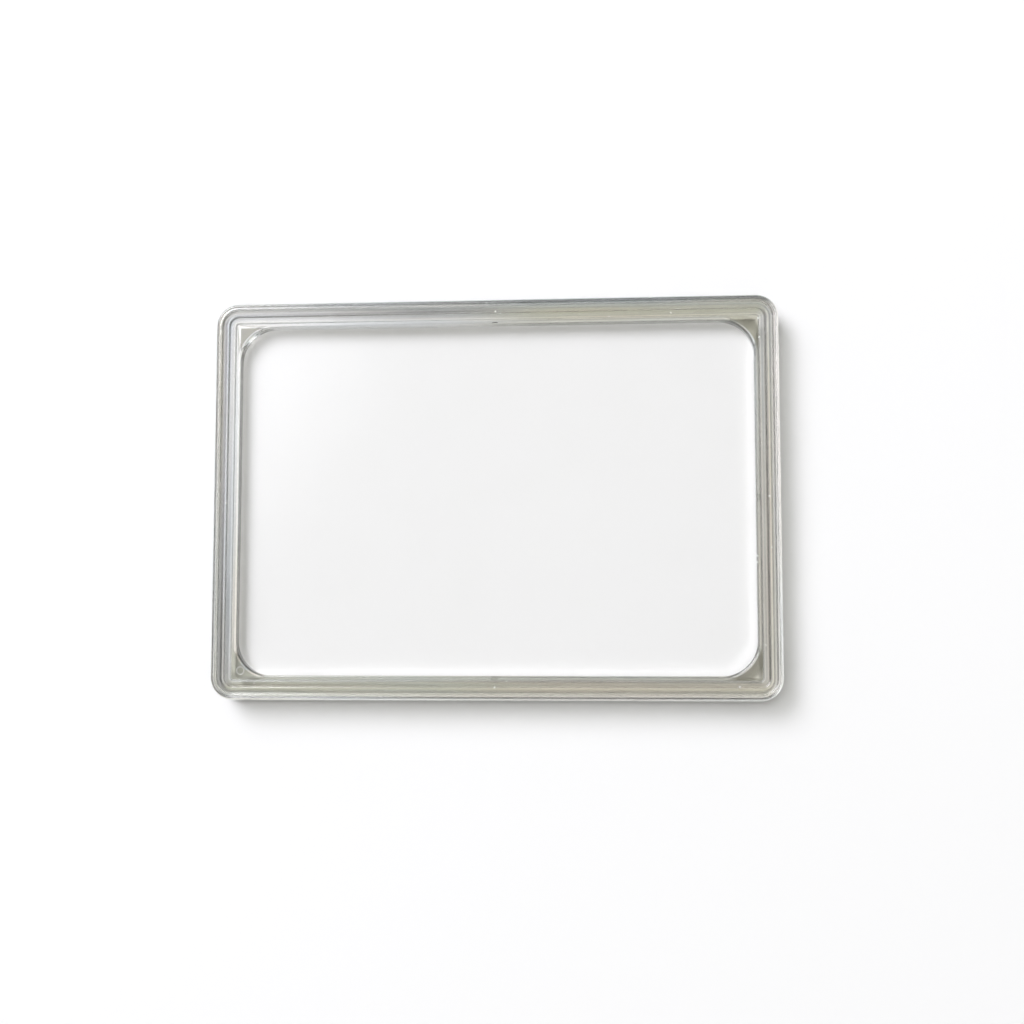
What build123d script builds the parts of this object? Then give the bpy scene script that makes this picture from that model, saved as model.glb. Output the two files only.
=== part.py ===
from build123d import *

import os

# Magnetic photo frame of clear moulded plastic, lying on its back with the front up.
# Sizes are in millimetres. X runs along the long side, Y along the short side, +Z out of the front.
# The origin is the middle of the back face, which is the face that goes against a steel door.

# Outline of the frame
frame_length = 92.0
frame_width = 65.0
outer_corner_radius = 3.6
least_corner_radius = 0.4  # sharpest corner in the mould

# Stepped front face, from the outer edge inwards
outer_land = 0.95
middle_land = 1.15
inner_land = 1.0
lip_land = 0.8
first_drop = 0.35
second_drop = 0.35
third_drop = 0.3

# Roundings of the frame
outer_edge_round = 0.35
step_edge_round = 0.2
lip_edge_round = 0.3
base_edge_chamfer = 0.2
round_share = 0.8  # largest share of a land or wall that a rounding may take

# Lip round the opening
lip_thickness = 1.65
lip_overlap = 0.4  # how far the lip reaches over the pane
opening_corner_radius = 5.6

# Layers behind the lip
pane_thickness = 1.0
card_thickness = 0.3
stack_clearance = 0.05  # between the pane and the lip
pane_side_clearance = 0.05
card_side_clearance = 0.1

# Back plate
plate_floor = 0.45
plate_side_clearance = 0.05
plate_edge_chamfer = 0.2

# Push-fit tabs, one in the middle of each side of the back plate
tab_width = 0.8
tab_reach = 0.35  # from the pocket's wall into the rim
tab_clearance = 0.05

# Disc magnets, loose in round pockets and trapped under the card
magnet_diameter = 8.0
magnet_thickness = 1.0
magnet_side_clearance = 0.1
magnet_headroom = 0.05
magnet_edge_margin = 4.0  # from the plate's edge to the side of a pocket
magnet_edge_chamfer = 0.1

# Sizes that follow across the frame
lip_inset = outer_land + middle_land + inner_land
rim_width = lip_inset + lip_land
opening_length = frame_length - 2 * rim_width
opening_width = frame_width - 2 * rim_width
pocket_length = opening_length + 2 * lip_overlap
pocket_width = opening_width + 2 * lip_overlap
plate_length = pocket_length - 2 * plate_side_clearance
plate_width = pocket_width - 2 * plate_side_clearance

# Heights that follow, from the back face to the front
plate_thickness = plate_floor + magnet_thickness + magnet_headroom
pane_bottom = plate_thickness + card_thickness
lip_bottom = pane_bottom + pane_thickness + stack_clearance
lip_top = lip_bottom + lip_thickness
inner_land_top = lip_top + third_drop
middle_land_top = inner_land_top + second_drop
frame_depth = middle_land_top + first_drop

# Places of the magnets
magnet_pocket_radius = magnet_diameter / 2 + magnet_side_clearance
magnet_x = plate_length / 2 - magnet_edge_margin - magnet_pocket_radius
magnet_y = plate_width / 2 - magnet_edge_margin - magnet_pocket_radius


def inset_radius(inset):
    """Corner radius of an outline that runs at this distance inside the outer one."""
    return max(outer_corner_radius - inset, least_corner_radius)


def limited(radius, *walls):
    """A rounding's radius, kept inside the lands or walls beside it."""
    return min(radius, *(round_share * wall for wall in walls))


os.makedirs("parts", exist_ok=True)

# Front frame: a clear rim that steps down to the lip, open in the middle, with a pocket behind the lip
with BuildPart() as front_frame:
    with BuildSketch(Plane.XY):
        RectangleRounded(frame_length, frame_width, outer_corner_radius)
    extrude(amount=frame_depth)
    fillet(
        front_frame.edges().group_by(Axis.Z)[-1],
        radius=limited(outer_edge_round, outer_land - step_edge_round),
    )
    chamfer(front_frame.edges().group_by(Axis.Z)[0], length=base_edge_chamfer)

    # Three steps down, each with its upper edge broken
    for inset, floor, drop in (
        (outer_land, middle_land_top, first_drop),
        (outer_land + middle_land, inner_land_top, second_drop),
        (lip_inset, lip_top, third_drop),
    ):
        with BuildSketch(Plane.XY.offset(floor)):
            RectangleRounded(frame_length - 2 * inset, frame_width - 2 * inset, inset_radius(inset))
        extrude(amount=frame_depth - floor, mode=Mode.SUBTRACT)
        fillet(
            front_frame.edges(Select.LAST).group_by(Axis.Z)[-1],
            radius=limited(step_edge_round, drop),
        )

    # Opening, whose wide corners leave a flat gusset inside each corner of the last step
    with BuildSketch(Plane.XY):
        RectangleRounded(opening_length, opening_width, opening_corner_radius)
    extrude(amount=frame_depth, mode=Mode.SUBTRACT)
    fillet(
        front_frame.edges(Select.LAST).group_by(Axis.Z)[-1],
        radius=limited(lip_edge_round, lip_land, lip_thickness),
    )

    # Pocket for the pane, the card and the back plate, open at the back
    with BuildSketch(Plane.XY):
        RectangleRounded(pocket_length, pocket_width, least_corner_radius)
    extrude(amount=lip_bottom, mode=Mode.SUBTRACT)

    # Slots for the push-fit tabs
    with BuildSketch(Plane.XY):
        Rectangle(pocket_length + 2 * (tab_reach + tab_clearance), tab_width + 2 * tab_clearance)
        Rectangle(tab_width + 2 * tab_clearance, pocket_width + 2 * (tab_reach + tab_clearance))
    extrude(amount=plate_thickness + tab_clearance, mode=Mode.SUBTRACT)
front_frame.part.label = "front_frame"
export_step(front_frame.part, "parts/front_frame.step")

# Window pane: a clear sheet behind the lip
with BuildPart() as window_pane:
    with BuildSketch(Plane.XY.offset(pane_bottom)):
        RectangleRounded(
            pocket_length - 2 * pane_side_clearance,
            pocket_width - 2 * pane_side_clearance,
            least_corner_radius,
        )
    extrude(amount=pane_thickness)
window_pane.part.label = "window_pane"
export_step(window_pane.part, "parts/window_pane.step")

# Insert card: the blank white card that a photo takes the place of
with BuildPart() as insert_card:
    with BuildSketch(Plane.XY.offset(plate_thickness)):
        RectangleRounded(
            pocket_length - 2 * card_side_clearance,
            pocket_width - 2 * card_side_clearance,
            least_corner_radius,
        )
    extrude(amount=card_thickness)
insert_card.part.label = "insert_card"
export_step(insert_card.part, "parts/insert_card.step")

# Back plate: closes the pocket, flush with the rim, with four magnet pockets under the card
with BuildPart() as back_plate:
    with BuildSketch(Plane.XY):
        RectangleRounded(plate_length, plate_width, least_corner_radius)
        Rectangle(pocket_length + 2 * tab_reach, tab_width)
        Rectangle(tab_width, pocket_width + 2 * tab_reach)
    extrude(amount=plate_thickness)
    chamfer(back_plate.edges().group_by(Axis.Z)[-1], length=plate_edge_chamfer)
    with BuildSketch(Plane.XY.offset(plate_floor)):
        with GridLocations(2 * magnet_x, 2 * magnet_y, 2, 2):
            Circle(magnet_pocket_radius)
    extrude(amount=plate_thickness - plate_floor, mode=Mode.SUBTRACT)
back_plate.part.label = "back_plate"
export_step(back_plate.part, "parts/back_plate.step")

# Four disc magnets, each on the floor of its pocket
for row, side_y in (("lower", -1), ("upper", 1)):
    for column, side_x in (("left", -1), ("right", 1)):
        with BuildPart() as magnet:
            with BuildSketch(Plane.XY.offset(plate_floor)):
                with Locations((side_x * magnet_x, side_y * magnet_y)):
                    Circle(magnet_diameter / 2)
            extrude(amount=magnet_thickness)
            chamfer(magnet.edges().filter_by(GeomType.CIRCLE), length=magnet_edge_chamfer)
        magnet.part.label = f"magnet_{row}_{column}"
        export_step(magnet.part, f"parts/magnet_{row}_{column}.step")

print(f"frame {frame_length:.1f} x {frame_width:.1f} x {frame_depth:.2f} mm")
print(f"opening {opening_length:.1f} x {opening_width:.1f} mm, pocket {pocket_length:.1f} x {pocket_width:.1f} mm")
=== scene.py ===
import math

import bmesh
import bpy
from mathutils import Matrix, Vector


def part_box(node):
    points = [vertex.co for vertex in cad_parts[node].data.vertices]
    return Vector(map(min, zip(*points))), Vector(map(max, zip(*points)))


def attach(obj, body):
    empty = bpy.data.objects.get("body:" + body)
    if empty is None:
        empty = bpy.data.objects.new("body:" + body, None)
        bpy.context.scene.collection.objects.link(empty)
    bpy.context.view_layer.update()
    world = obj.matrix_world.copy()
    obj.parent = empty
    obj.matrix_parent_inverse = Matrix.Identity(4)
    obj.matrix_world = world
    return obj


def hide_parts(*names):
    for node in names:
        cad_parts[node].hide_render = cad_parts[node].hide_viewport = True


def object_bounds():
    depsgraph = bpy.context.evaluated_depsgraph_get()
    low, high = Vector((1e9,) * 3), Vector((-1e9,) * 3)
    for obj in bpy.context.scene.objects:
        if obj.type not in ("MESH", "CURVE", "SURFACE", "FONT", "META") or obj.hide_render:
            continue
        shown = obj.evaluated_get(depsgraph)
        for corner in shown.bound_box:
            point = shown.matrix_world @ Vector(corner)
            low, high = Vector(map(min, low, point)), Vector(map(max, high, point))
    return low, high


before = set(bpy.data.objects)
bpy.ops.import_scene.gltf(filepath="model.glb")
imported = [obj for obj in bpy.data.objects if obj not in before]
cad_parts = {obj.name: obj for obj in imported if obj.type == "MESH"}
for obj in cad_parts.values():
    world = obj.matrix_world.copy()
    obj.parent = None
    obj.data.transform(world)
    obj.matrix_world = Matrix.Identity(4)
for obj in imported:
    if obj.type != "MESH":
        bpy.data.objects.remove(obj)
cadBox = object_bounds()
mm = 0.001
print("stage: frame loaded,", len(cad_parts), "nodes")

scene = bpy.context.scene
scene.view_settings.view_transform = "Standard"
scene.cycles.caustics_reflective = False  # keeps stray glints off the card and the floor
scene.cycles.blur_glossy = 0.0  # clear pieces stay clear for light that bounced off the card


# mesh helpers

weldGap = 1e-8  # points closer than this become one


def ringPoints(halfX, halfY, radius, z, segments):
    # closed loop of a rounded rectangle, anticlockwise from the right side
    points = []
    for quarter in range(4):
        signX = 1 if quarter in (0, 3) else -1
        signY = 1 if quarter in (0, 1) else -1
        for step in range(segments + 1):
            angle = math.radians(90 * (quarter + step / segments))
            x = signX * (halfX - radius) + radius * math.cos(angle)
            y = signY * (halfY - radius) + radius * math.sin(angle)
            points.append(Vector((x, y, z)))
    return points


def circlePoints(centre, radius, z, segments):
    turns = [math.tau * step / segments for step in range(segments)]
    return [Vector((centre[0] + radius * math.cos(a), centre[1] + radius * math.sin(a), z)) for a in turns]


def quarterTurns(segments):
    return [math.radians(90 * step / segments) for step in range(segments + 1)]


def loftMesh(name, rings, closed=False):
    # skin a stack of loops; closed joins the last to the first, otherwise both ends are capped
    shape = bmesh.new()
    loops = [[shape.verts.new(point) for point in ring] for ring in rings]
    pairs = list(zip(loops, loops[1:]))
    if closed:
        pairs.append((loops[-1], loops[0]))
    for lower, upper in pairs:
        for index in range(len(lower)):
            following = (index + 1) % len(lower)
            shape.faces.new((lower[index], lower[following], upper[following], upper[index]))
    if not closed:
        shape.faces.new(list(reversed(loops[0])))
        shape.faces.new(loops[-1])
    bmesh.ops.remove_doubles(shape, verts=shape.verts, dist=weldGap)
    bmesh.ops.recalc_face_normals(shape, faces=shape.faces)
    mesh = bpy.data.meshes.new(name)
    shape.to_mesh(mesh)
    shape.free()
    piece = bpy.data.objects.new(name, mesh)
    scene.collection.objects.link(piece)
    return piece


def applyModifiers(piece):
    depsgraph = bpy.context.evaluated_depsgraph_get()
    mesh = bpy.data.meshes.new_from_object(piece.evaluated_get(depsgraph))
    piece.modifiers.clear()
    piece.data = mesh


def cutAway(piece, cutter):
    cut = piece.modifiers.new("cut", "BOOLEAN")
    cut.operation = "DIFFERENCE"
    cut.solver = "EXACT"
    cut.object = cutter
    applyModifiers(piece)
    bpy.data.objects.remove(cutter)


def smoothSurface(piece, sharpAngle):
    # round edges shade smooth, flat lands stay flat
    piece.data.shade_smooth()
    piece.data.set_sharp_from_angle(angle=math.radians(sharpAngle))
    weighted = piece.modifiers.new("flatLands", "WEIGHTED_NORMAL")
    weighted.keep_sharp = True
    weighted.weight = 100  # the large faces decide
    applyModifiers(piece)


def install(piece, node, body):
    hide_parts(node)
    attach(piece, body)


# front rim: three steps down to a lip, with the pocket behind it

rimShape = {
    "cornerRadius": 3.6 * mm,
    "leastRadius": 0.4 * mm,
    "lands": (0.95 * mm, 1.15 * mm, 1.0 * mm, 0.8 * mm),
    "drops": (0.35 * mm, 0.35 * mm, 0.3 * mm),
    "coves": (0.04 * mm, 0.015 * mm, 0.0),  # how far each land dips in its middle
    "outerRound": 0.35 * mm,
    "outerTilt": 62.0,  # how steep the outer round gets before the wall drops
    "stepRound": 0.2 * mm,
    "footRound": 0.08 * mm,
    "lipRound": 0.3 * mm,
    "baseChamfer": 0.2 * mm,
    "lipThickness": 1.65 * mm,
    "lipOverlap": 0.4 * mm,
    "openingRadius": 5.6 * mm,
    "slotWidth": 0.9 * mm,
    "slotDepth": 0.4 * mm,
    "slotHeight": 1.55 * mm,
    "pinMark": (4.67 * mm, 4.67 * mm),  # from the left and lower edges
    "pinMarkRadius": 0.6 * mm,
    "pinMarkWire": 0.1 * mm,
    "gateMarks": ((0.33, 30.6), (0.21, 28.45), (44.21, -0.05), (-44.03, -0.49), (0.28, -30.44),
                  (42.82, 28.84), (42.94, 25.72), (39.12, -30.27)),  # millimetres from the middle
    "segments": 24,  # in each corner
    "outerSegments": 10,
    "landSegments": 8,
    "stepSegments": 8,
    "footSegments": 4,
    "lipSegments": 10,
    "ringSegments": 40,
    "wireSegments": 12,
    "sharpAngle": 32,
}
rimLow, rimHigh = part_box("front_frame")
openInset = sum(rimShape["lands"])
pocketInset = openInset - rimShape["lipOverlap"]
lipTop = rimHigh.z - sum(rimShape["drops"])
lipBottom = lipTop - rimShape["lipThickness"]


def rimProfile():
    # (inset, height) up the outside and down over the steps
    s = rimShape
    points = [(s["baseChamfer"], rimLow.z), (0.0, rimLow.z + s["baseChamfer"])]
    tilt = math.radians(s["outerTilt"])
    r = s["outerRound"] / math.sin(tilt)
    for step in range(s["outerSegments"] + 1):
        t = tilt * (1 - step / s["outerSegments"])
        points.append((s["outerRound"] - r * math.sin(t), rimHigh.z - r * (1 - math.cos(t))))
    inset, level, landStart = 0.0, rimHigh.z, s["outerRound"]
    r, foot = s["stepRound"], s["footRound"]
    for land, drop, cove in zip(s["lands"], s["drops"], s["coves"]):
        inset += land
        landEnd = inset - r
        for step in range(1, s["landSegments"]):
            share = step / s["landSegments"]
            dip = cove * (1 - (2 * share - 1) ** 2)
            points.append((landStart + (landEnd - landStart) * share, level - dip))
        for t in quarterTurns(s["stepSegments"]):
            points.append((landEnd + r * math.sin(t), level - r * (1 - math.cos(t))))
        level -= drop
        for t in quarterTurns(s["footSegments"]):
            points.append((inset + foot * (1 - math.cos(t)), level + foot * (1 - math.sin(t))))
        landStart = inset + foot
    return points


def buildRim():
    s = rimShape
    rings = [(inset, z, max(s["cornerRadius"] - inset, s["leastRadius"])) for inset, z in rimProfile()]
    for t in quarterTurns(s["lipSegments"]):
        back = s["lipRound"] * (1 - math.sin(t))
        down = s["lipRound"] * (1 - math.cos(t))
        rings.append((openInset - back, lipTop - down, s["openingRadius"] + back))
    rings.append((openInset, lipBottom, s["openingRadius"]))
    rings.append((pocketInset, lipBottom, s["leastRadius"]))
    rings.append((pocketInset, rimLow.z, s["leastRadius"]))
    loops = []
    for inset, z, radius in rings:
        loops.append(ringPoints(rimHigh.x - inset, rimHigh.y - inset, radius, z, s["segments"]))
    rim = loftMesh("frontRim", loops, closed=True)

    # slots for the back plate's tabs, in the middle of each side
    halfSlot = s["slotWidth"] / 2
    reachX = rimHigh.x - pocketInset + s["slotDepth"]
    reachY = rimHigh.y - pocketInset + s["slotDepth"]
    levels = (rimLow.z - 1 * mm, rimLow.z + s["slotHeight"])  # starts well below the back
    for halfX, halfY in ((reachX, halfSlot), (halfSlot, reachY)):
        corners = ((halfX, halfY), (-halfX, halfY), (-halfX, -halfY), (halfX, -halfY))
        cutAway(rim, loftMesh("slotCutter", [[Vector((x, y, z)) for x, y in corners] for z in levels]))

    # shallow ring that a mould pin left in the lower left gusset
    centre = (rimLow.x + s["pinMark"][0], rimLow.y + s["pinMark"][1])
    wire = s["pinMarkWire"]
    loops = []
    for step in range(s["wireSegments"]):
        t = math.tau * step / s["wireSegments"]
        radius = s["pinMarkRadius"] + wire * math.cos(t)
        loops.append(circlePoints(centre, radius, lipTop + wire * math.sin(t), s["ringSegments"]))
    cutAway(rim, loftMesh("pinRing", loops, closed=True))
    smoothSurface(rim, s["sharpAngle"])
    install(rim, "front_frame", "front")
    return rim


# pane, card and magnets: each a hair thinner than its space, so that no two faces coincide

paneShape = {
    "cornerRadius": 0.4 * mm,
    "edgeRound": 0.06 * mm,
    "gap": 0.02 * mm,
    "segments": 8,
    "edgeSegments": 4,
    "sharpAngle": 40,
}
cardShape = {
    "cornerRadius": 0.4 * mm,
    "edgeRound": 0.03 * mm,
    "gap": 0.02 * mm,
    "segments": 8,
    "edgeSegments": 4,
    "sharpAngle": 40,
}
magnetShape = {
    "edgeRound": 0.14 * mm,
    "gap": 0.02 * mm,
    "segments": 72,
    "edgeSegments": 5,
    "sharpAngle": 40,
}


def softEdges(shape, bottom, top):
    # (inset, height) up a plain edge that is rounded below and above
    r = shape["edgeRound"]
    turns = quarterTurns(shape["edgeSegments"])
    lower = [(r * (1 - math.sin(t)), bottom + r * (1 - math.cos(t))) for t in turns]
    upper = [(r * (1 - math.cos(t)), top - r * (1 - math.sin(t))) for t in turns]
    return lower + upper


def buildLayer(name, shape, node, body):
    low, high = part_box(node)
    loops = []
    for inset, z in softEdges(shape, low.z + shape["gap"], high.z):
        radius = shape["cornerRadius"] - inset
        loops.append(ringPoints(high.x - inset, high.y - inset, radius, z, shape["segments"]))
    layer = loftMesh(name, loops)
    smoothSurface(layer, shape["sharpAngle"])
    install(layer, node, body)
    return layer


def buildMagnet(node):
    s = magnetShape
    low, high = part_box(node)
    centre = ((low.x + high.x) / 2, (low.y + high.y) / 2)
    radius = (high.x - low.x) / 2
    edges = softEdges(s, low.z + s["gap"], high.z)
    disc = loftMesh(
        node.replace("magnet_", "disc_"),
        [circlePoints(centre, radius - inset, z, s["segments"]) for inset, z in edges],
    )
    smoothSurface(disc, s["sharpAngle"])
    install(disc, node, "back")
    return disc


rim = buildRim()
pane = buildLayer("clearPane", paneShape, "window_pane", "pane")
card = buildLayer("whiteCard", cardShape, "insert_card", "card")
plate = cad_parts["back_plate"]
discs = [buildMagnet(node) for node in sorted(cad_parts) if node.startswith("magnet_")]
print("stage: rim, pane, card and", len(discs), "magnets built")


# node helpers

def opaque(colour):
    return (*colour, 1)


def put(tree, kind, values=None, **settings):
    # new node; each socket is linked to an output or set to a value
    node = tree.nodes.new(kind)
    for key, value in settings.items():
        setattr(node, key, value)
    for key, value in (values or {}).items():
        if isinstance(value, bpy.types.NodeSocket):
            tree.links.new(value, node.inputs[key])
        else:
            node.inputs[key].default_value = value
    return node


def calc(tree, operation, *values):
    return put(tree, "ShaderNodeMath", dict(enumerate(values)), operation=operation).outputs[0]


def times(tree, first, second):
    return calc(tree, "MULTIPLY", first, second)


def opposite(tree, mask):
    return calc(tree, "SUBTRACT", 1.0, mask)


def fade(tree, value, start, end, first=0.0, last=1.0):
    values = {"Value": value, "From Min": start, "From Max": end, "To Min": first, "To Max": last}
    return put(tree, "ShaderNodeMapRange", values, interpolation_type="SMOOTHSTEP").outputs["Result"]


def ramp(tree, value, stops):
    node = put(tree, "ShaderNodeValToRGB", {"Fac": value})
    elements = node.color_ramp.elements
    elements[0].position = stops[0][0]
    elements[1].position = stops[-1][0]
    for at, _ in stops[1:-1]:
        elements.new(at)
    for element, (_, colour) in zip(elements, stops):
        element.color = opaque(colour)
    return node.outputs["Color"]


def blend(tree, mode, share, first, second):
    values = {"Factor": share, 6: first, 7: second}  # the colour sockets go by number
    return put(tree, "ShaderNodeMix", values, data_type="RGBA", blend_type=mode).outputs[2]


def scaled(tree, colour, level):
    return put(tree, "ShaderNodeVectorMath", {0: colour, "Scale": level}, operation="SCALE").outputs[0]


def noise(tree, vector, scale, detail=2.0):
    values = {"Vector": vector, "Scale": scale, "Detail": detail}
    return put(tree, "ShaderNodeTexNoise", values).outputs["Fac"]


def place(tree):
    return put(tree, "ShaderNodeTexCoord").outputs["Object"]


def axes(tree):
    return put(tree, "ShaderNodeSeparateXYZ", {0: place(tree)}).outputs


def newGroup(name, inputs, outputs):
    tree = bpy.data.node_groups.new(name, "ShaderNodeTree")
    for label, value in inputs:
        tree.interface.new_socket(label, in_out="INPUT", socket_type="NodeSocketFloat").default_value = value
    for label, kind in outputs:
        tree.interface.new_socket(label, in_out="OUTPUT", socket_type=kind)
    return tree, tree.nodes.new("NodeGroupInput").outputs, tree.nodes.new("NodeGroupOutput").inputs


def useGroup(tree, group, values=None):
    return put(tree, "ShaderNodeGroup", values, node_tree=group).outputs


def outlineGroup():
    # distance inside a rounded rectangle, in millimetres
    outline = (
        ("Half X", rimHigh.x / mm),
        ("Half Y", rimHigh.y / mm),
        ("Corner", rimShape["cornerRadius"] / mm),
    )
    tree, given, result = newGroup("outlineInset", outline, (("Inset", "NodeSocketFloat"),))
    where = axes(tree)
    sides = []
    for axis, half in (("X", "Half X"), ("Y", "Half Y")):
        inMm = times(tree, where[axis], 1 / mm)
        straight = calc(tree, "SUBTRACT", given[half], given["Corner"])
        sides.append(calc(tree, "SUBTRACT", calc(tree, "ABSOLUTE", inMm), straight))
    squares = [calc(tree, "POWER", calc(tree, "MAXIMUM", side, 0.0), 2.0) for side in sides]
    outside = calc(tree, "SQRT", calc(tree, "ADD", *squares))
    inside = calc(tree, "MINIMUM", calc(tree, "MAXIMUM", *sides), 0.0)
    distance = calc(tree, "ADD", outside, inside)
    tree.links.new(calc(tree, "SUBTRACT", given["Corner"], distance), result["Inset"])
    return tree


flowLook = {
    "lineGap": 0.14,  # millimetres
    "bandGap": 0.9,
    "lineStretch": 9.0,  # turns to the metre along the sides
    "bandStretch": 30.0,
    "slantRise": 1.4,
    "slantReach": 0.07,  # metres from the middle to where the slant of the colour is full
    "slantShare": 0.16,
    "bandCut": (0.2, 0.8),
    "lineCut": (0.25, 0.75),
    "tints": (
        (0.0, (0.86, 0.93, 1.0)),
        (0.3, (0.97, 0.98, 0.99)),
        (0.6, (1.0, 0.99, 0.92)),
        (1.0, (1.0, 0.91, 0.84)),
    ),
}


def flowGroup():
    # colour and fine lines that follow the outline, as plastic flowed along the mould, with a painted light
    # colour slanting from the upper left
    s = flowLook
    tree, given, result = newGroup(
        "mouldFlowAndLightTint", (("Inset", 0.0), ("Line Gap", s["lineGap"]), ("Band Gap", s["bandGap"])),
        (("Tint", "NodeSocketColor"), ("Lines", "NodeSocketFloat")),
    )
    where = axes(tree)

    def along(gap, stretch):
        values = {
            "X": calc(tree, "DIVIDE", given["Inset"], gap),
            "Y": times(tree, where["X"], stretch),
            "Z": times(tree, where["Y"], stretch),
        }
        return put(tree, "ShaderNodeCombineXYZ", values).outputs[0]

    lines = noise(tree, along(given["Line Gap"], s["lineStretch"]), 1.0, 2.0)
    bands = noise(tree, along(given["Band Gap"], s["bandStretch"]), 1.0, 1.0)
    # painted light colour: cooler towards the upper left, where the cool lamp light falls, warmer towards
    # the lower right
    slant = calc(tree, "SUBTRACT", where["X"], times(tree, where["Y"], s["slantRise"]))
    reach, share = s["slantReach"], s["slantShare"]
    mixed = calc(tree, "ADD", bands, fade(tree, slant, -reach, reach, -share, share))
    tint = ramp(tree, fade(tree, mixed, *s["bandCut"]), s["tints"])
    tree.links.new(tint, result["Tint"])
    tree.links.new(fade(tree, lines, *s["lineCut"]), result["Lines"])
    return tree


wearLook = {
    "scratches": ((25.0, 3.1), (-50.0, 7.7), (80.0, 1.9)),  # turn in degrees, and a shift
    "scratchScale": (60.0, 3500.0, 60.0),
    "scratchCut": (0.7, 0.78),
    "speckScale": 900.0,
    "speckCut": (0.95, 0.96),  # few cells hold a speck
    "speckEdge": (0.1, 0.18),
}


def wearGroup():
    # hairline scratches and specks
    s = wearLook
    tree, given, result = newGroup(
        "handlingMarks", (("Density", 1.0),),
        (("Scratches", "NodeSocketFloat"), ("Specks", "NodeSocketFloat")),
    )
    where = place(tree)
    scratches = None
    for turn, shift in s["scratches"]:
        values = {"Vector": where, "Rotation": (0, 0, math.radians(turn)), "Location": (shift, shift, 0)}
        values["Scale"] = s["scratchScale"]
        streak = noise(tree, put(tree, "ShaderNodeMapping", values).outputs[0], given["Density"], 1.0)
        thin = fade(tree, streak, *s["scratchCut"])
        scratches = thin if scratches is None else calc(tree, "MAXIMUM", scratches, thin)
    cells = put(tree, "ShaderNodeTexVoronoi", {"Vector": where, "Scale": s["speckScale"]}).outputs
    rare = fade(tree, put(tree, "ShaderNodeSeparateColor", {0: cells["Color"]}).outputs[0], *s["speckCut"])
    specks = times(tree, rare, fade(tree, cells["Distance"], *s["speckEdge"], 1.0, 0.0))
    tree.links.new(scratches, result["Scratches"])
    tree.links.new(specks, result["Specks"])
    return tree


outlineInset = outlineGroup()
mouldFlowAndLightTint = flowGroup()
handlingMarks = wearGroup()
print("stage: node groups made")


# materials

def newMaterial(name):
    material = bpy.data.materials.new(name)
    material.use_nodes = True
    material.node_tree.nodes.clear()
    return material, material.node_tree


def dress(piece, material):
    piece.data.materials.clear()
    piece.data.materials.append(material)


def letLampThrough(tree, shader, lampTint):
    # shadow rays pass with this colour, so a share of the lamp reaches what lies under the piece
    through = put(tree, "ShaderNodeBsdfTransparent", {"Color": lampTint})
    shadow = put(tree, "ShaderNodeLightPath").outputs["Is Shadow Ray"]
    mix = put(tree, "ShaderNodeMixShader", {0: shadow, 1: shader.outputs[0], 2: through.outputs[0]})
    put(tree, "ShaderNodeOutputMaterial", {"Surface": mix.outputs[0]})


def clearShader(tree, look, colour, rough, normal, lampTint):
    shader = put(tree, "ShaderNodeBsdfPrincipled", {"Base Color": colour, "Roughness": rough})
    if normal is not None:
        tree.links.new(normal, shader.inputs["Normal"])
    shader.inputs["IOR"].default_value = look["ior"]
    shader.inputs["Transmission Weight"].default_value = 1.0
    shader.inputs["Coat Weight"].default_value = look["coat"]
    shader.inputs["Coat Roughness"].default_value = look["coatRough"]
    letLampThrough(tree, shader, lampTint)


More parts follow.
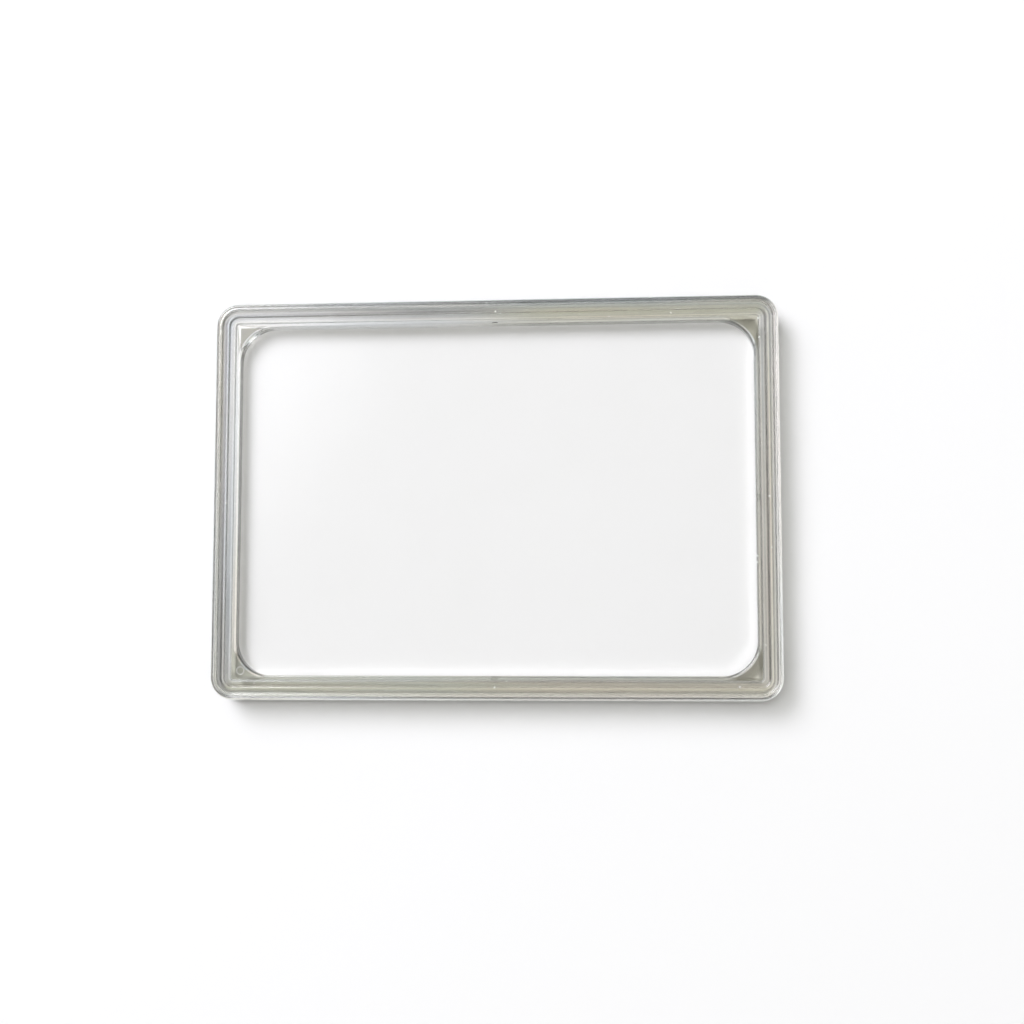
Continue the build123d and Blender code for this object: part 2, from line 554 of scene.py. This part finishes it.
rimLook = {
    "ior": 1.59,
    "coat": 1.0,
    "coatRough": 0.1,
    "rough": 0.02,
    "flatTint": (0.98, 0.98, 0.97),  # lamp light let through the lands and the back
    "wallTint": (0.3, 0.3, 0.29),  # and let in through the side walls
    "footShade": 0.1,  # share of that at the foot of a wall
    "wallFootPaintedShade": (0.12, 0.12, 0.11),  # painted shade: foot of the lower outside wall, where the frame meets the table, darkened to darken the contact shadow
    "lipHold": (0.25, 0.25, 0.24),  # light let in through the lip's wall on the lit sides
    "landPaintedLight": {  # millimetres inside the outline, share of light: painted light and dark lines, side by side
        "left": ((0.0, 0.8), (0.22, 0.42), (0.36, 0.52), (0.52, 1.0), (0.74, 1.0), (0.95, 0.47), (1.1, 0.57),
                 (1.3, 0.52), (1.55, 0.08), (1.72, 0.3), (1.9, 0.84), (2.1, 0.45), (2.4, 0.62), (2.6, 0.5),
                 (2.9, 0.78), (3.42, 0.75)),
        "right": ((0.0, 0.95), (0.15, 1.0), (0.6, 1.0), (0.7, 0.8), (0.86, 0.24), (1.15, 0.7), (1.42, 0.34),
                  (1.64, 0.82), (1.78, 0.7), (1.95, 0.34), (2.08, 0.06), (2.26, 0.45), (2.42, 0.78),
                  (2.58, 0.52), (2.74, 0.74), (2.9, 0.84), (3.04, 0.4), (3.2, 0.36), (3.34, 0.86),
                  (3.42, 0.94)),
        "topLeft": ((0.0, 0.8), (0.2, 0.7), (0.4, 0.54), (0.62, 0.5), (0.94, 0.88), (1.12, 0.56),
                    (1.28, 0.4), (1.44, 0.56), (1.6, 0.45), (1.8, 0.28), (2.05, 0.57), (2.4, 0.55),
                    (2.63, 0.6), (2.95, 0.9), (3.2, 0.75), (3.42, 0.8)),
        "topRight": ((0.0, 0.78), (0.22, 0.57), (0.4, 0.34), (0.56, 0.47), (0.8, 0.58), (1.2, 0.63),
                     (1.45, 0.54), (1.76, 0.58), (2.05, 0.6), (2.4, 0.56), (2.75, 0.56), (2.96, 0.74),
                     (3.1, 0.8), (3.22, 0.53), (3.42, 0.54)),
        "bottomLeft": ((0.0, 0.86), (0.12, 0.95), (0.28, 0.48), (0.5, 0.58), (0.84, 0.82), (1.2, 0.42),
                       (1.5, 0.45), (1.65, 0.6), (1.81, 0.7), (2.0, 0.52), (2.3, 0.49), (2.45, 0.52),
                       (2.65, 0.65), (2.77, 0.67), (2.93, 0.49), (3.1, 0.5), (3.25, 0.76), (3.42, 0.97)),
        "bottomRight": ((0.0, 0.72), (0.12, 0.8), (0.28, 0.52), (0.4, 0.56), (0.5, 0.54), (0.84, 0.78),
                        (1.2, 0.41), (1.5, 0.46), (1.65, 0.58), (1.81, 0.72), (2.0, 0.57), (2.3, 0.52),
                        (2.45, 0.54), (2.65, 0.62), (2.77, 0.6), (2.93, 0.46), (3.1, 0.44), (3.25, 0.66),
                        (3.42, 0.89)),
    },
    "lipPaintedLight": {  # millimetres from the opening, share of light: painted light and dark lines along the lip
        "left": ((0.0, 0.3), (0.04, 0.6), (0.09, 1.0), (0.22, 1.0), (0.38, 0.8), (0.8, 0.72), (1.0, 0.95)),
        "right": ((0.0, 0.42), (0.1, 0.44), (0.22, 0.5), (0.36, 1.0), (0.48, 1.0), (0.58, 0.88)),
        "topLeft": ((0.0, 0.82), (0.06, 0.8), (0.14, 0.64), (0.22, 0.56), (0.36, 0.7), (0.8, 0.64),
                    (1.0, 0.92)),
        "topRight": ((0.0, 0.37), (0.08, 0.4), (0.2, 0.62), (0.36, 0.72), (0.55, 0.6)),
        "bottomLeft": ((0.0, 1.0), (0.06, 0.83), (0.12, 0.71), (0.34, 0.79), (0.48, 0.98)),
        "bottomRight": ((0.0, 1.0), (0.06, 0.74), (0.12, 0.6), (0.34, 0.66), (0.48, 0.89)),
    },
    "landPaintedTint": {  # millimetres inside the outline, colour let through: painted colour of the light on each side
        "left": ((0.3, (0.97, 0.95, 0.93)), (0.7, (1.0, 0.95, 0.78)), (1.4, (0.97, 0.97, 0.96)),
                 (2.2, (0.9, 0.94, 1.0)), (3.3, (1.0, 0.99, 0.94))),
        "right": ((0.3, (0.94, 0.97, 1.0)), (0.9, (0.96, 0.97, 0.98)), (1.5, (1.0, 0.97, 0.83)),
                  (2.4, (1.0, 0.98, 0.93)), (3.3, (0.97, 0.99, 0.98))),
        "topLeft": ((0.4, (0.92, 0.96, 0.96)), (1.2, (1.0, 0.98, 0.92)), (2.4, (1.0, 0.97, 0.93)),
                    (3.3, (1.0, 0.98, 0.95))),
        "topRight": ((0.4, (0.84, 0.94, 1.0)), (1.2, (1.0, 0.98, 0.8)), (2.4, (1.0, 0.98, 0.68)),
                     (3.3, (1.0, 0.99, 0.84))),
        "bottomLeft": ((0.3, (0.96, 0.98, 0.97)), (0.9, (0.97, 0.99, 0.87)), (1.7, (0.96, 0.98, 0.75)),
                       (2.6, (0.96, 0.98, 0.8)), (3.3, (0.96, 0.99, 0.95))),
        "bottomRight": ((0.3, (0.91, 0.96, 1.0)), (0.9, (1.0, 0.98, 0.86)), (1.7, (1.0, 0.96, 0.72)),
                        (2.6, (1.0, 0.96, 0.81)), (3.3, (0.94, 0.97, 0.97))),
    },
    "gussetTint": {  # painted shade: colour let through the flat gussets in the corners, set corner by corner for how the light falls
        "lowerLeft": (0.3, 0.305, 0.228),
        "lowerRight": (0.14, 0.131, 0.094),
        "upperLeft": (0.19, 0.182, 0.118),
        "upperRight": (0.3, 0.288, 0.2),
    },
    "gussetCorner": {  # and through their outer corners, painted shade too
        "lowerLeft": (0.16, 0.16, 0.115),
        "lowerRight": (0.52, 0.5, 0.4),
        "upperLeft": (0.15, 0.142, 0.09),
        "upperRight": (0.42, 0.4, 0.3),
    },
    "gussetShift": 0.65,  # how much further in the upper left gusset starts to show
    "gussetStep": (3.1, 3.25),  # millimetres inside the outline where a gusset starts
    "gussetLip": (0.45, 0.6),  # and from the opening where it ends
    "gussetOuter": (6.8 * mm, 8.8 * mm),  # how far its outer corner reaches, X and Y added up
    "gussetRough": 0.3,
    "arcEdge": {  # depth of the painted dark line (painted shade) along the opening's round corners
        "lowerLeft": (0.97, 0.97, 0.97),
        "lowerRight": (0.92, 0.92, 0.92),
        "upperLeft": (0.0, 0.0, 0.0),
        "upperRight": (0.75, 0.75, 0.75),
    },
    "arcEdgeFade": (0.18, 0.26),  # millimetres from the opening
    "arcWall": (0.42, 0.42, 0.39),  # painted light on the wall of the upper left round corner
    "arcWallShare": 0.9,
    "arcWallFade": (0.1, 0.2),
    "arcLine": 0.38,  # painted highlight line beside the dark one
    "arcLineShare": 0.8,
    "arcLineFade": (0.05, 0.13),
    "arcReachX": (36.5 * mm, 39 * mm),  # where the sides of the opening turn into its round corners
    "arcReachY": (23 * mm, 25.5 * mm),
    "cornerBlend": 1.5 * mm,  # half the width of the change from side to side, in a corner
    "halfBlend": 10 * mm,  # and from half to half, in the middle of a side
    "lipStart": (3.42, 3.52),  # millimetres inside the outline where the lip's lines take over
    "lineShare": (0.86, 1.14),  # least and most light through the fine flow lines
    "behindTint": (0.97, 0.97, 0.95),  # walls and back, which carry no lines
    "frontHeight": (4.2 * mm, 4.4 * mm),  # the lines lie above this
    "frontFade": (0.05, 0.1),  # and on the lip's own wall, in millimetres from the opening
    "wallFade": (0.05, 0.15),  # millimetres from the outline or the opening
    "groundHeight": (0.8 * mm, 3 * mm),  # how far up the foot of the outside wall shades off
    "wallRise": (0.4, 0.8),  # a face counts as a wall when its normal rises less than this
    "footHeight": (0.6 * mm, 1.7 * mm),  # the foot shade ends between these
    "underLip": (0.05 * mm, 0.25 * mm),  # height on either side of the lip's underside
    "markTint": (0.98, 0.98, 0.96),
    "markFade": (0.08 * mm, 0.22 * mm),
    "ringFade": (0.06 * mm, 0.16 * mm),
    "ringShare": 0.5,
    "speckShare": 0.7,
    "scratchRough": 0.1,
    "lineBump": 0.4,
    "bumpStrength": 0.15,
    "bumpDepth": 0.004 * mm,
}
rampReach = 4.0  # millimetres that a ramp covers


def whichSide(tree, where):
    # which side, half or corner of the frame a point is on, each fading into the next
    look = rimLook
    awayX = calc(tree, "ABSOLUTE", where["X"])
    awayY = calc(tree, "ABSOLUTE", where["Y"])
    fromX = calc(tree, "SUBTRACT", rimHigh.x, awayX)
    fromY = calc(tree, "SUBTRACT", rimHigh.y, awayY)
    corner, half = look["cornerBlend"], look["halfBlend"]
    upright = fade(tree, calc(tree, "SUBTRACT", fromY, fromX), -corner, corner)
    rightward = fade(tree, where["X"], -half, half)
    upward = fade(tree, where["Y"], -half, half)
    farSide = blend(tree, "MIX", upright, opposite(tree, upward), rightward)
    return {
        "upright": upright,
        "rightward": rightward,
        "upward": upward,
        "upperLeft": times(tree, upward, opposite(tree, rightward)),
        "lowSide": times(tree, opposite(tree, upright), opposite(tree, upward)),
        "litSide": opposite(tree, farSide),
        "arc": times(tree, fade(tree, awayX, *look["arcReachX"]), fade(tree, awayY, *look["arcReachY"])),
        "fromCorner": calc(tree, "ADD", fromX, fromY),
    }


def bySide(tree, sides, distance, table, level):
    looks = {}
    for side, stops in table.items():
        share = calc(tree, "DIVIDE", distance, rampReach)
        looks[side] = ramp(tree, share, [(at / rampReach, level(value)) for at, value in stops])
    upper = blend(tree, "MIX", sides["rightward"], looks["topLeft"], looks["topRight"])
    lower = blend(tree, "MIX", sides["rightward"], looks["bottomLeft"], looks["bottomRight"])
    lengthwise = blend(tree, "MIX", sides["upward"], lower, upper)
    crosswise = blend(tree, "MIX", sides["rightward"], looks["left"], looks["right"])
    return blend(tree, "MIX", sides["upright"], lengthwise, crosswise)


def byCorner(tree, sides, table):
    looks = {corner: opaque(colour) for corner, colour in table.items()}
    lower = blend(tree, "MIX", sides["rightward"], looks["lowerLeft"], looks["lowerRight"])
    upper = blend(tree, "MIX", sides["rightward"], looks["upperLeft"], looks["upperRight"])
    return blend(tree, "MIX", sides["upward"], lower, upper)


def asTone(share):
    return (share ** 2,) * 3  # shares are written as the eye sees them, and light goes by the square


def paintedRimLines(tree, sides, inset, lip, flow):
    # painted highlights and shade: light and dark lines along the steps and the lip, with the painted colour
    # of the light on each side
    look = rimLook
    tone = bySide(tree, sides, inset, look["landPaintedLight"], asTone)
    lipPaintedLight = bySide(tree, sides, lip, look["lipPaintedLight"], asTone)
    tone = blend(tree, "MIX", fade(tree, inset, *look["lipStart"]), tone, lipPaintedLight)

    # painted at the lip's round corners: a dark edge (painted shade) beside a bright line (painted
    # highlight), and painted light on the wall at the upper left
    arc = sides["arc"]
    edge = fade(tree, lip, *look["arcEdgeFade"], 1.0, 0.0)
    edge = times(tree, edge, byCorner(tree, sides, look["arcEdge"]))
    tone = scaled(tree, tone, opposite(tree, times(tree, arc, edge)))
    paintedLitWall = fade(tree, lip, *look["arcWallFade"], look["arcWallShare"], 0.0)
    paintedLitWall = times(tree, paintedLitWall, sides["upperLeft"])
    tone = blend(tree, "MIX", times(tree, arc, paintedLitWall), tone, opaque(look["arcWall"]))
    offLine = calc(tree, "ABSOLUTE", calc(tree, "SUBTRACT", lip, look["arcLine"]))
    line = times(tree, arc, fade(tree, offLine, *look["arcLineFade"], look["arcLineShare"], 0.0))
    tone = blend(tree, "MIX", line, tone, (1, 1, 1, 1))

    tint = blend(tree, "MULTIPLY", 1.0, bySide(tree, sides, inset, look["landPaintedTint"], tuple), flow["Tint"])
    colour = blend(tree, "MULTIPLY", 1.0, tint, tone)
    return scaled(tree, colour, fade(tree, flow["Lines"], 0.0, 1.0, *look["lineShare"]))


def gussetMask(tree, sides, inset, lip):
    # flat gussets between the last step and the round corners
    look = rimLook
    fromStep = calc(tree, "SUBTRACT", inset, times(tree, sides["upperLeft"], look["gussetShift"]))
    flat = times(tree, fade(tree, lip, *look["gussetLip"]), fade(tree, fromStep, *look["gussetStep"]))
    return times(tree, sides["arc"], flat)


def gussetPaintedShade(tree, sides):
    # painted shade: the gussets' colour, set corner by corner for how the light falls
    look = rimLook
    outermost = fade(tree, sides["fromCorner"], *look["gussetOuter"], 1.0, 0.0)
    middle = byCorner(tree, sides, look["gussetTint"])
    return blend(tree, "MIX", outermost, middle, byCorner(tree, sides, look["gussetCorner"]))


def wallColour(tree, sides, where, inset, lip):
    # walls and back: painted shade, darker at the foot of the lower side to darken the contact shadow on the
    # table, and darker in the lip's wall on the lit sides to deepen the shadow on the card
    look = rimLook
    outside = fade(tree, inset, *look["wallFade"], 1.0, 0.0)
    grounded = times(tree, fade(tree, where["Z"], *look["groundHeight"], 1.0, 0.0), outside)
    foot = times(tree, sides["lowSide"], grounded)
    colour = blend(tree, "MIX", foot, opaque(look["behindTint"]), opaque(look["wallFootPaintedShade"]))
    lipWall = times(tree, sides["litSide"], fade(tree, lip, *look["wallFade"], 1.0, 0.0))
    return blend(tree, "MIX", lipWall, colour, opaque(look["lipHold"]))


def mouldMarks(tree, where):
    # small bright marks that the gates left, and a painted highlight along the ring of the mould pin
    look = rimLook
    flat = put(tree, "ShaderNodeCombineXYZ", {"X": where["X"], "Y": where["Y"]}).outputs[0]

    def gapTo(x, y):
        values = {0: flat, 1: (x, y, 0)}
        return put(tree, "ShaderNodeVectorMath", values, operation="DISTANCE").outputs["Value"]

    nearest = None
    for x, y in rimShape["gateMarks"]:
        gap = gapTo(x * mm, y * mm)
        nearest = gap if nearest is None else calc(tree, "MINIMUM", nearest, gap)
    spots = fade(tree, nearest, *look["markFade"], 1.0, 0.0)
    fromPin = gapTo(rimLow.x + rimShape["pinMark"][0], rimLow.y + rimShape["pinMark"][1])
    offRing = calc(tree, "ABSOLUTE", calc(tree, "SUBTRACT", fromPin, rimShape["pinMarkRadius"]))
    ring = fade(tree, offRing, *look["ringFade"], look["ringShare"], 0.0)
    return calc(tree, "MAXIMUM", spots, ring)


def rimLampTint(tree, sides, where, geometry):
    # side walls hold back more of the lamp than the lands do, most of all at their foot
    look = rimLook
    rise = calc(tree, "ABSOLUTE", put(tree, "ShaderNodeSeparateXYZ", {0: geometry["Normal"]}).outputs["Z"])
    entering = opposite(tree, geometry["Backfacing"])
    steep = times(tree, fade(tree, rise, *look["wallRise"], 1.0, 0.0), entering)
    foot = fade(tree, where["Z"], *look["footHeight"], look["footShade"], 1.0)
    offLevel = calc(tree, "ABSOLUTE", calc(tree, "SUBTRACT", where["Z"], lipBottom))
    underLip = times(tree, fade(tree, offLevel, *look["underLip"], 1.0, 0.0), sides["litSide"])
    held = calc(tree, "MAXIMUM", steep, underLip)
    return blend(tree, "MIX", held, opaque(look["flatTint"]), scaled(tree, look["wallTint"], foot))


def rimPlastic():
    material, tree = newMaterial("rimPlastic")
    look = rimLook
    where = axes(tree)
    sides = whichSide(tree, where)
    inset = useGroup(tree, outlineInset)["Inset"]
    opening = {
        "Half X": (rimHigh.x - openInset) / mm,
        "Half Y": (rimHigh.y - openInset) / mm,
        "Corner": rimShape["openingRadius"] / mm,
    }
    lip = times(tree, useGroup(tree, outlineInset, opening)["Inset"], -1.0)
    flow = useGroup(tree, mouldFlowAndLightTint, {"Inset": inset})
    marks = useGroup(tree, handlingMarks)

    gusset = gussetMask(tree, sides, inset, lip)
    colour = paintedRimLines(tree, sides, inset, lip, flow)
    colour = blend(tree, "MIX", gusset, colour, gussetPaintedShade(tree, sides))
    lipWall = fade(tree, lip, *look["frontFade"], 1.0, 0.0)
    front = calc(tree, "MAXIMUM", fade(tree, where["Z"], *look["frontHeight"]), lipWall)
    # the painted lines are what the eye meets; light on its way to the card and the table passes between
    # them
    onward = calc(tree, "MINIMUM", put(tree, "ShaderNodeLightPath").outputs["Diffuse Depth"], 1.0)
    seen = times(tree, front, opposite(tree, onward))
    colour = blend(tree, "MIX", seen, wallColour(tree, sides, where, inset, lip), colour)
    bright = calc(tree, "MAXIMUM", mouldMarks(tree, where), times(tree, marks["Specks"], look["speckShare"]))
    colour = blend(tree, "MIX", bright, colour, opaque(look["markTint"]))

    rough = calc(tree, "ADD", look["rough"], times(tree, marks["Scratches"], look["scratchRough"]))
    rough = calc(tree, "ADD", rough, times(tree, gusset, look["gussetRough"]))
    bumps = calc(tree, "ADD", times(tree, flow["Lines"], look["lineBump"]), marks["Scratches"])
    values = {"Height": bumps, "Strength": look["bumpStrength"], "Distance": look["bumpDepth"]}
    normal = put(tree, "ShaderNodeBump", values).outputs[0]
    geometry = put(tree, "ShaderNodeNewGeometry").outputs
    clearShader(tree, look, colour, rough, normal, rimLampTint(tree, sides, where, geometry))
    return material


paneLook = {
    "ior": 1.3,
    "coat": 0.0,
    "coatRough": 0.03,
    "rough": 0.01,
    "scratchRough": 0.04,
    "tint": (1.0, 1.0, 1.0),
    "speckTint": (0.9, 0.9, 0.88),
    "speckShare": 0.1,
    "lampTint": (0.97, 0.97, 0.97),
}
plateLook = {
    "ior": 1.53,
    "coat": 0.0,
    "coatRough": 0.03,
    "rough": 0.03,
    "scratchRough": 0.04,
    "tint": (0.95, 0.95, 0.93),
    "speckTint": (0.9, 0.9, 0.88),
    "speckShare": 0.1,
    "lampTint": (0.9, 0.9, 0.88),
}


def sheetPlastic(name, look):
    material, tree = newMaterial(name)
    marks = useGroup(tree, handlingMarks)
    specks = times(tree, marks["Specks"], look["speckShare"])
    colour = blend(tree, "MIX", specks, opaque(look["tint"]), opaque(look["speckTint"]))
    rough = calc(tree, "ADD", look["rough"], times(tree, marks["Scratches"], look["scratchRough"]))
    clearShader(tree, look, colour, rough, None, opaque(look["lampTint"]))
    return material


cardLook = {
    "white": (0.985, 0.985, 0.975),
    "shade": (0.965, 0.965, 0.953),
    "rough": 0.75,
    "lampTint": (0.88, 0.88, 0.86),  # thin paper lets some of the lamp through
    "fibreScale": 9000.0,
    "cloudScale": 120.0,
    "cloudCut": (0.3, 0.7),
    "bumpStrength": 0.2,
    "bumpDepth": 0.01 * mm,
}


def cardPaper():
    material, tree = newMaterial("cardPaper")
    look = cardLook
    fibres = noise(tree, place(tree), look["fibreScale"], 4.0)
    cloud = noise(tree, place(tree), look["cloudScale"], 2.0)
    average = times(tree, calc(tree, "ADD", fibres, cloud), 0.5)
    mixed = fade(tree, average, *look["cloudCut"])
    colour = blend(tree, "MIX", mixed, opaque(look["shade"]), opaque(look["white"]))
    values = {"Height": fibres, "Strength": look["bumpStrength"], "Distance": look["bumpDepth"]}
    normal = put(tree, "ShaderNodeBump", values).outputs[0]
    values = {"Base Color": colour, "Roughness": look["rough"], "Normal": normal}
    shader = put(tree, "ShaderNodeBsdfPrincipled", values)
    letLampThrough(tree, shader, opaque(look["lampTint"]))
    return material


nickelLook = {
    "bright": (0.7, 0.69, 0.66),
    "dull": (0.58, 0.57, 0.54),
    "grainScale": 900.0,
    "rough": 0.22,
    "scratchRough": 0.2,
}


def nickelPlating():
    material, tree = newMaterial("nickelPlating")
    look = nickelLook
    marks = useGroup(tree, handlingMarks)
    grain = noise(tree, place(tree), look["grainScale"], 4.0)
    colour = blend(tree, "MIX", grain, opaque(look["dull"]), opaque(look["bright"]))
    rough = calc(tree, "ADD", look["rough"], times(tree, marks["Scratches"], look["scratchRough"]))
    values = {"Base Color": colour, "Roughness": rough, "Metallic": 1.0}
    shader = put(tree, "ShaderNodeBsdfPrincipled", values)
    put(tree, "ShaderNodeOutputMaterial", {"Surface": shader.outputs[0]})
    return material


dress(rim, rimPlastic())
dress(pane, sheetPlastic("paneSheet", paneLook))
dress(card, cardPaper())
dress(plate, sheetPlastic("plateSheet", plateLook))
nickel = nickelPlating()
for disc in discs:
    dress(disc, nickel)
print("stage: materials on")


# floor

floorLook = {"size": 6.0, "drop": 0.02 * mm, "colour": (0.92, 0.92, 0.92), "lift": 0.1}


def buildFloor():
    half = floorLook["size"] / 2
    z = cadBox[0].z - floorLook["drop"]
    mesh = bpy.data.meshes.new("floor")
    corners = [(-half, -half, z), (half, -half, z), (half, half, z), (-half, half, z)]
    mesh.from_pydata(corners, [], [(0, 1, 2, 3)])
    floor = bpy.data.objects.new("floor", mesh)
    scene.collection.objects.link(floor)
    material, tree = newMaterial("floorWhite")
    matte = put(tree, "ShaderNodeBsdfDiffuse", {"Color": opaque(floorLook["colour"])})
    path = put(tree, "ShaderNodeLightPath").outputs
    mirrored = calc(tree, "MAXIMUM", path["Is Glossy Ray"], path["Is Transmission Ray"])
    seen = calc(tree, "MAXIMUM", path["Is Camera Ray"], mirrored)
    level = times(tree, seen, floorLook["lift"])
    glow = put(tree, "ShaderNodeEmission", {"Color": (1, 1, 1, 1), "Strength": level})
    both = put(tree, "ShaderNodeAddShader", {0: matte.outputs[0], 1: glow.outputs[0]})
    put(tree, "ShaderNodeOutputMaterial", {"Surface": both.outputs[0]})
    dress(floor, material)


# light: a round soft box at the upper left, under a dome that is white towards the horizon

keyLook = {
    "azimuth": 132.5,
    "elevation": 46.5,
    "distance": 2.0,
    "fullAngle": 8.0,  # half angles of the even middle and of the faded edge
    "edgeAngle": 22.0,
    "level": 11.0,
    "colour": (0.99, 0.99, 1.03),
}
domeLook = {
    "horizon": 0.8,
    "overhead": 0.15,
    "heights": (0.1, 0.75),  # between which the one turns into the other
    "colour": (1.0, 1.0, 0.915),
    "panelAzimuth": 147.0,  # soft panel high at the upper left, which the lands mirror
    "panelElevation": 61.0,
    "panelFull": 9.0,
    "panelEdge": 17.0,
    "panelLevel": 3.2,
    "panelColour": (0.98, 0.97, 1.03),
}


def aimed(azimuth, elevation):
    a, e = math.radians(azimuth), math.radians(elevation)
    return Vector((math.cos(a) * math.cos(e), math.sin(a) * math.cos(e), math.sin(e)))


def buildKey():
    s = keyLook
    towards = aimed(s["azimuth"], s["elevation"])
    radius = s["distance"] * math.tan(math.radians(s["edgeAngle"]))
    data = bpy.data.lights.new("softBox", "AREA")
    data.shape = "DISK"
    data.size = 2 * radius
    data.energy = s["level"] * math.pi * math.pi * radius ** 2
    data.color = s["colour"]
    data.use_nodes = True
    tree = data.node_tree
    tree.nodes.clear()
    centre = towards * s["distance"]
    where = put(tree, "ShaderNodeNewGeometry").outputs["Position"]
    gap = put(tree, "ShaderNodeVectorMath", {0: where, 1: centre}, operation="DISTANCE").outputs["Value"]
    even = s["distance"] * math.tan(math.radians(s["fullAngle"]))
    glow = put(tree, "ShaderNodeEmission", {"Strength": fade(tree, gap, even, radius, 1.0, 0.0)})
    put(tree, "ShaderNodeOutputLight", {"Surface": glow.outputs[0]})
    lamp = bpy.data.objects.new("softBox", data)
    lamp.location = centre
    lamp.rotation_euler = (-towards).to_track_quat("-Z", "Y").to_euler()
    lamp.visible_transmission = False  # its light comes through the clear pieces by their lamp tint
    scene.collection.objects.link(lamp)


def buildDome():
    s = domeLook
    world = bpy.data.worlds.new("studioDome")
    scene.world = world
    world.use_nodes = True
    tree = world.node_tree
    tree.nodes.clear()
    direction = put(tree, "ShaderNodeTexCoord").outputs["Generated"]
    height = put(tree, "ShaderNodeSeparateXYZ", {0: direction}).outputs["Z"]
    base = scaled(tree, s["colour"], fade(tree, height, *s["heights"], s["horizon"], s["overhead"]))
    values = {0: direction, 1: aimed(s["panelAzimuth"], s["panelElevation"])}
    near = put(tree, "ShaderNodeVectorMath", values, operation="DOT_PRODUCT").outputs["Value"]
    edge, full = math.cos(math.radians(s["panelEdge"])), math.cos(math.radians(s["panelFull"]))
    panel = scaled(tree, s["panelColour"], fade(tree, near, edge, full, 0.0, s["panelLevel"]))
    light = put(tree, "ShaderNodeVectorMath", {0: base, 1: panel}, operation="ADD").outputs[0]
    sky = put(tree, "ShaderNodeBackground", {"Color": light, "Strength": 1.0})
    put(tree, "ShaderNodeOutputWorld", {"Surface": sky.outputs[0]})
    world.cycles.sampling_method = "NONE"  # bounced rays alone find it, and they pass the pane


cameraSetup = {
    "location": (23.9 * mm, -24.4 * mm, 245.1 * mm),
    "aim": (3.11 * mm, -2.36 * mm, 5.5 * mm),
    "twist": 0.03,
    "lens": 52.73,
    "sensor": 36.0,
    "nearest": 0.01,
}


def buildCamera():
    data = bpy.data.cameras.new("photoCamera")
    data.sensor_width = cameraSetup["sensor"]
    data.lens = cameraSetup["lens"]
    data.clip_start = cameraSetup["nearest"]
    camera = bpy.data.objects.new("photoCamera", data)
    location = Vector(cameraSetup["location"])
    forward = (Vector(cameraSetup["aim"]) - location).normalized()
    right = forward.cross(Vector((0, 1, 0))).normalized()
    turn = Matrix((right, right.cross(forward), -forward)).transposed().to_4x4()
    twist = Matrix.Rotation(math.radians(cameraSetup["twist"]), 4, "Z")
    camera.matrix_world = Matrix.Translation(location) @ turn @ twist
    scene.collection.objects.link(camera)
    scene.camera = camera


buildFloor()
buildKey()
buildDome()
buildCamera()
print("stage: floor, light and camera set")
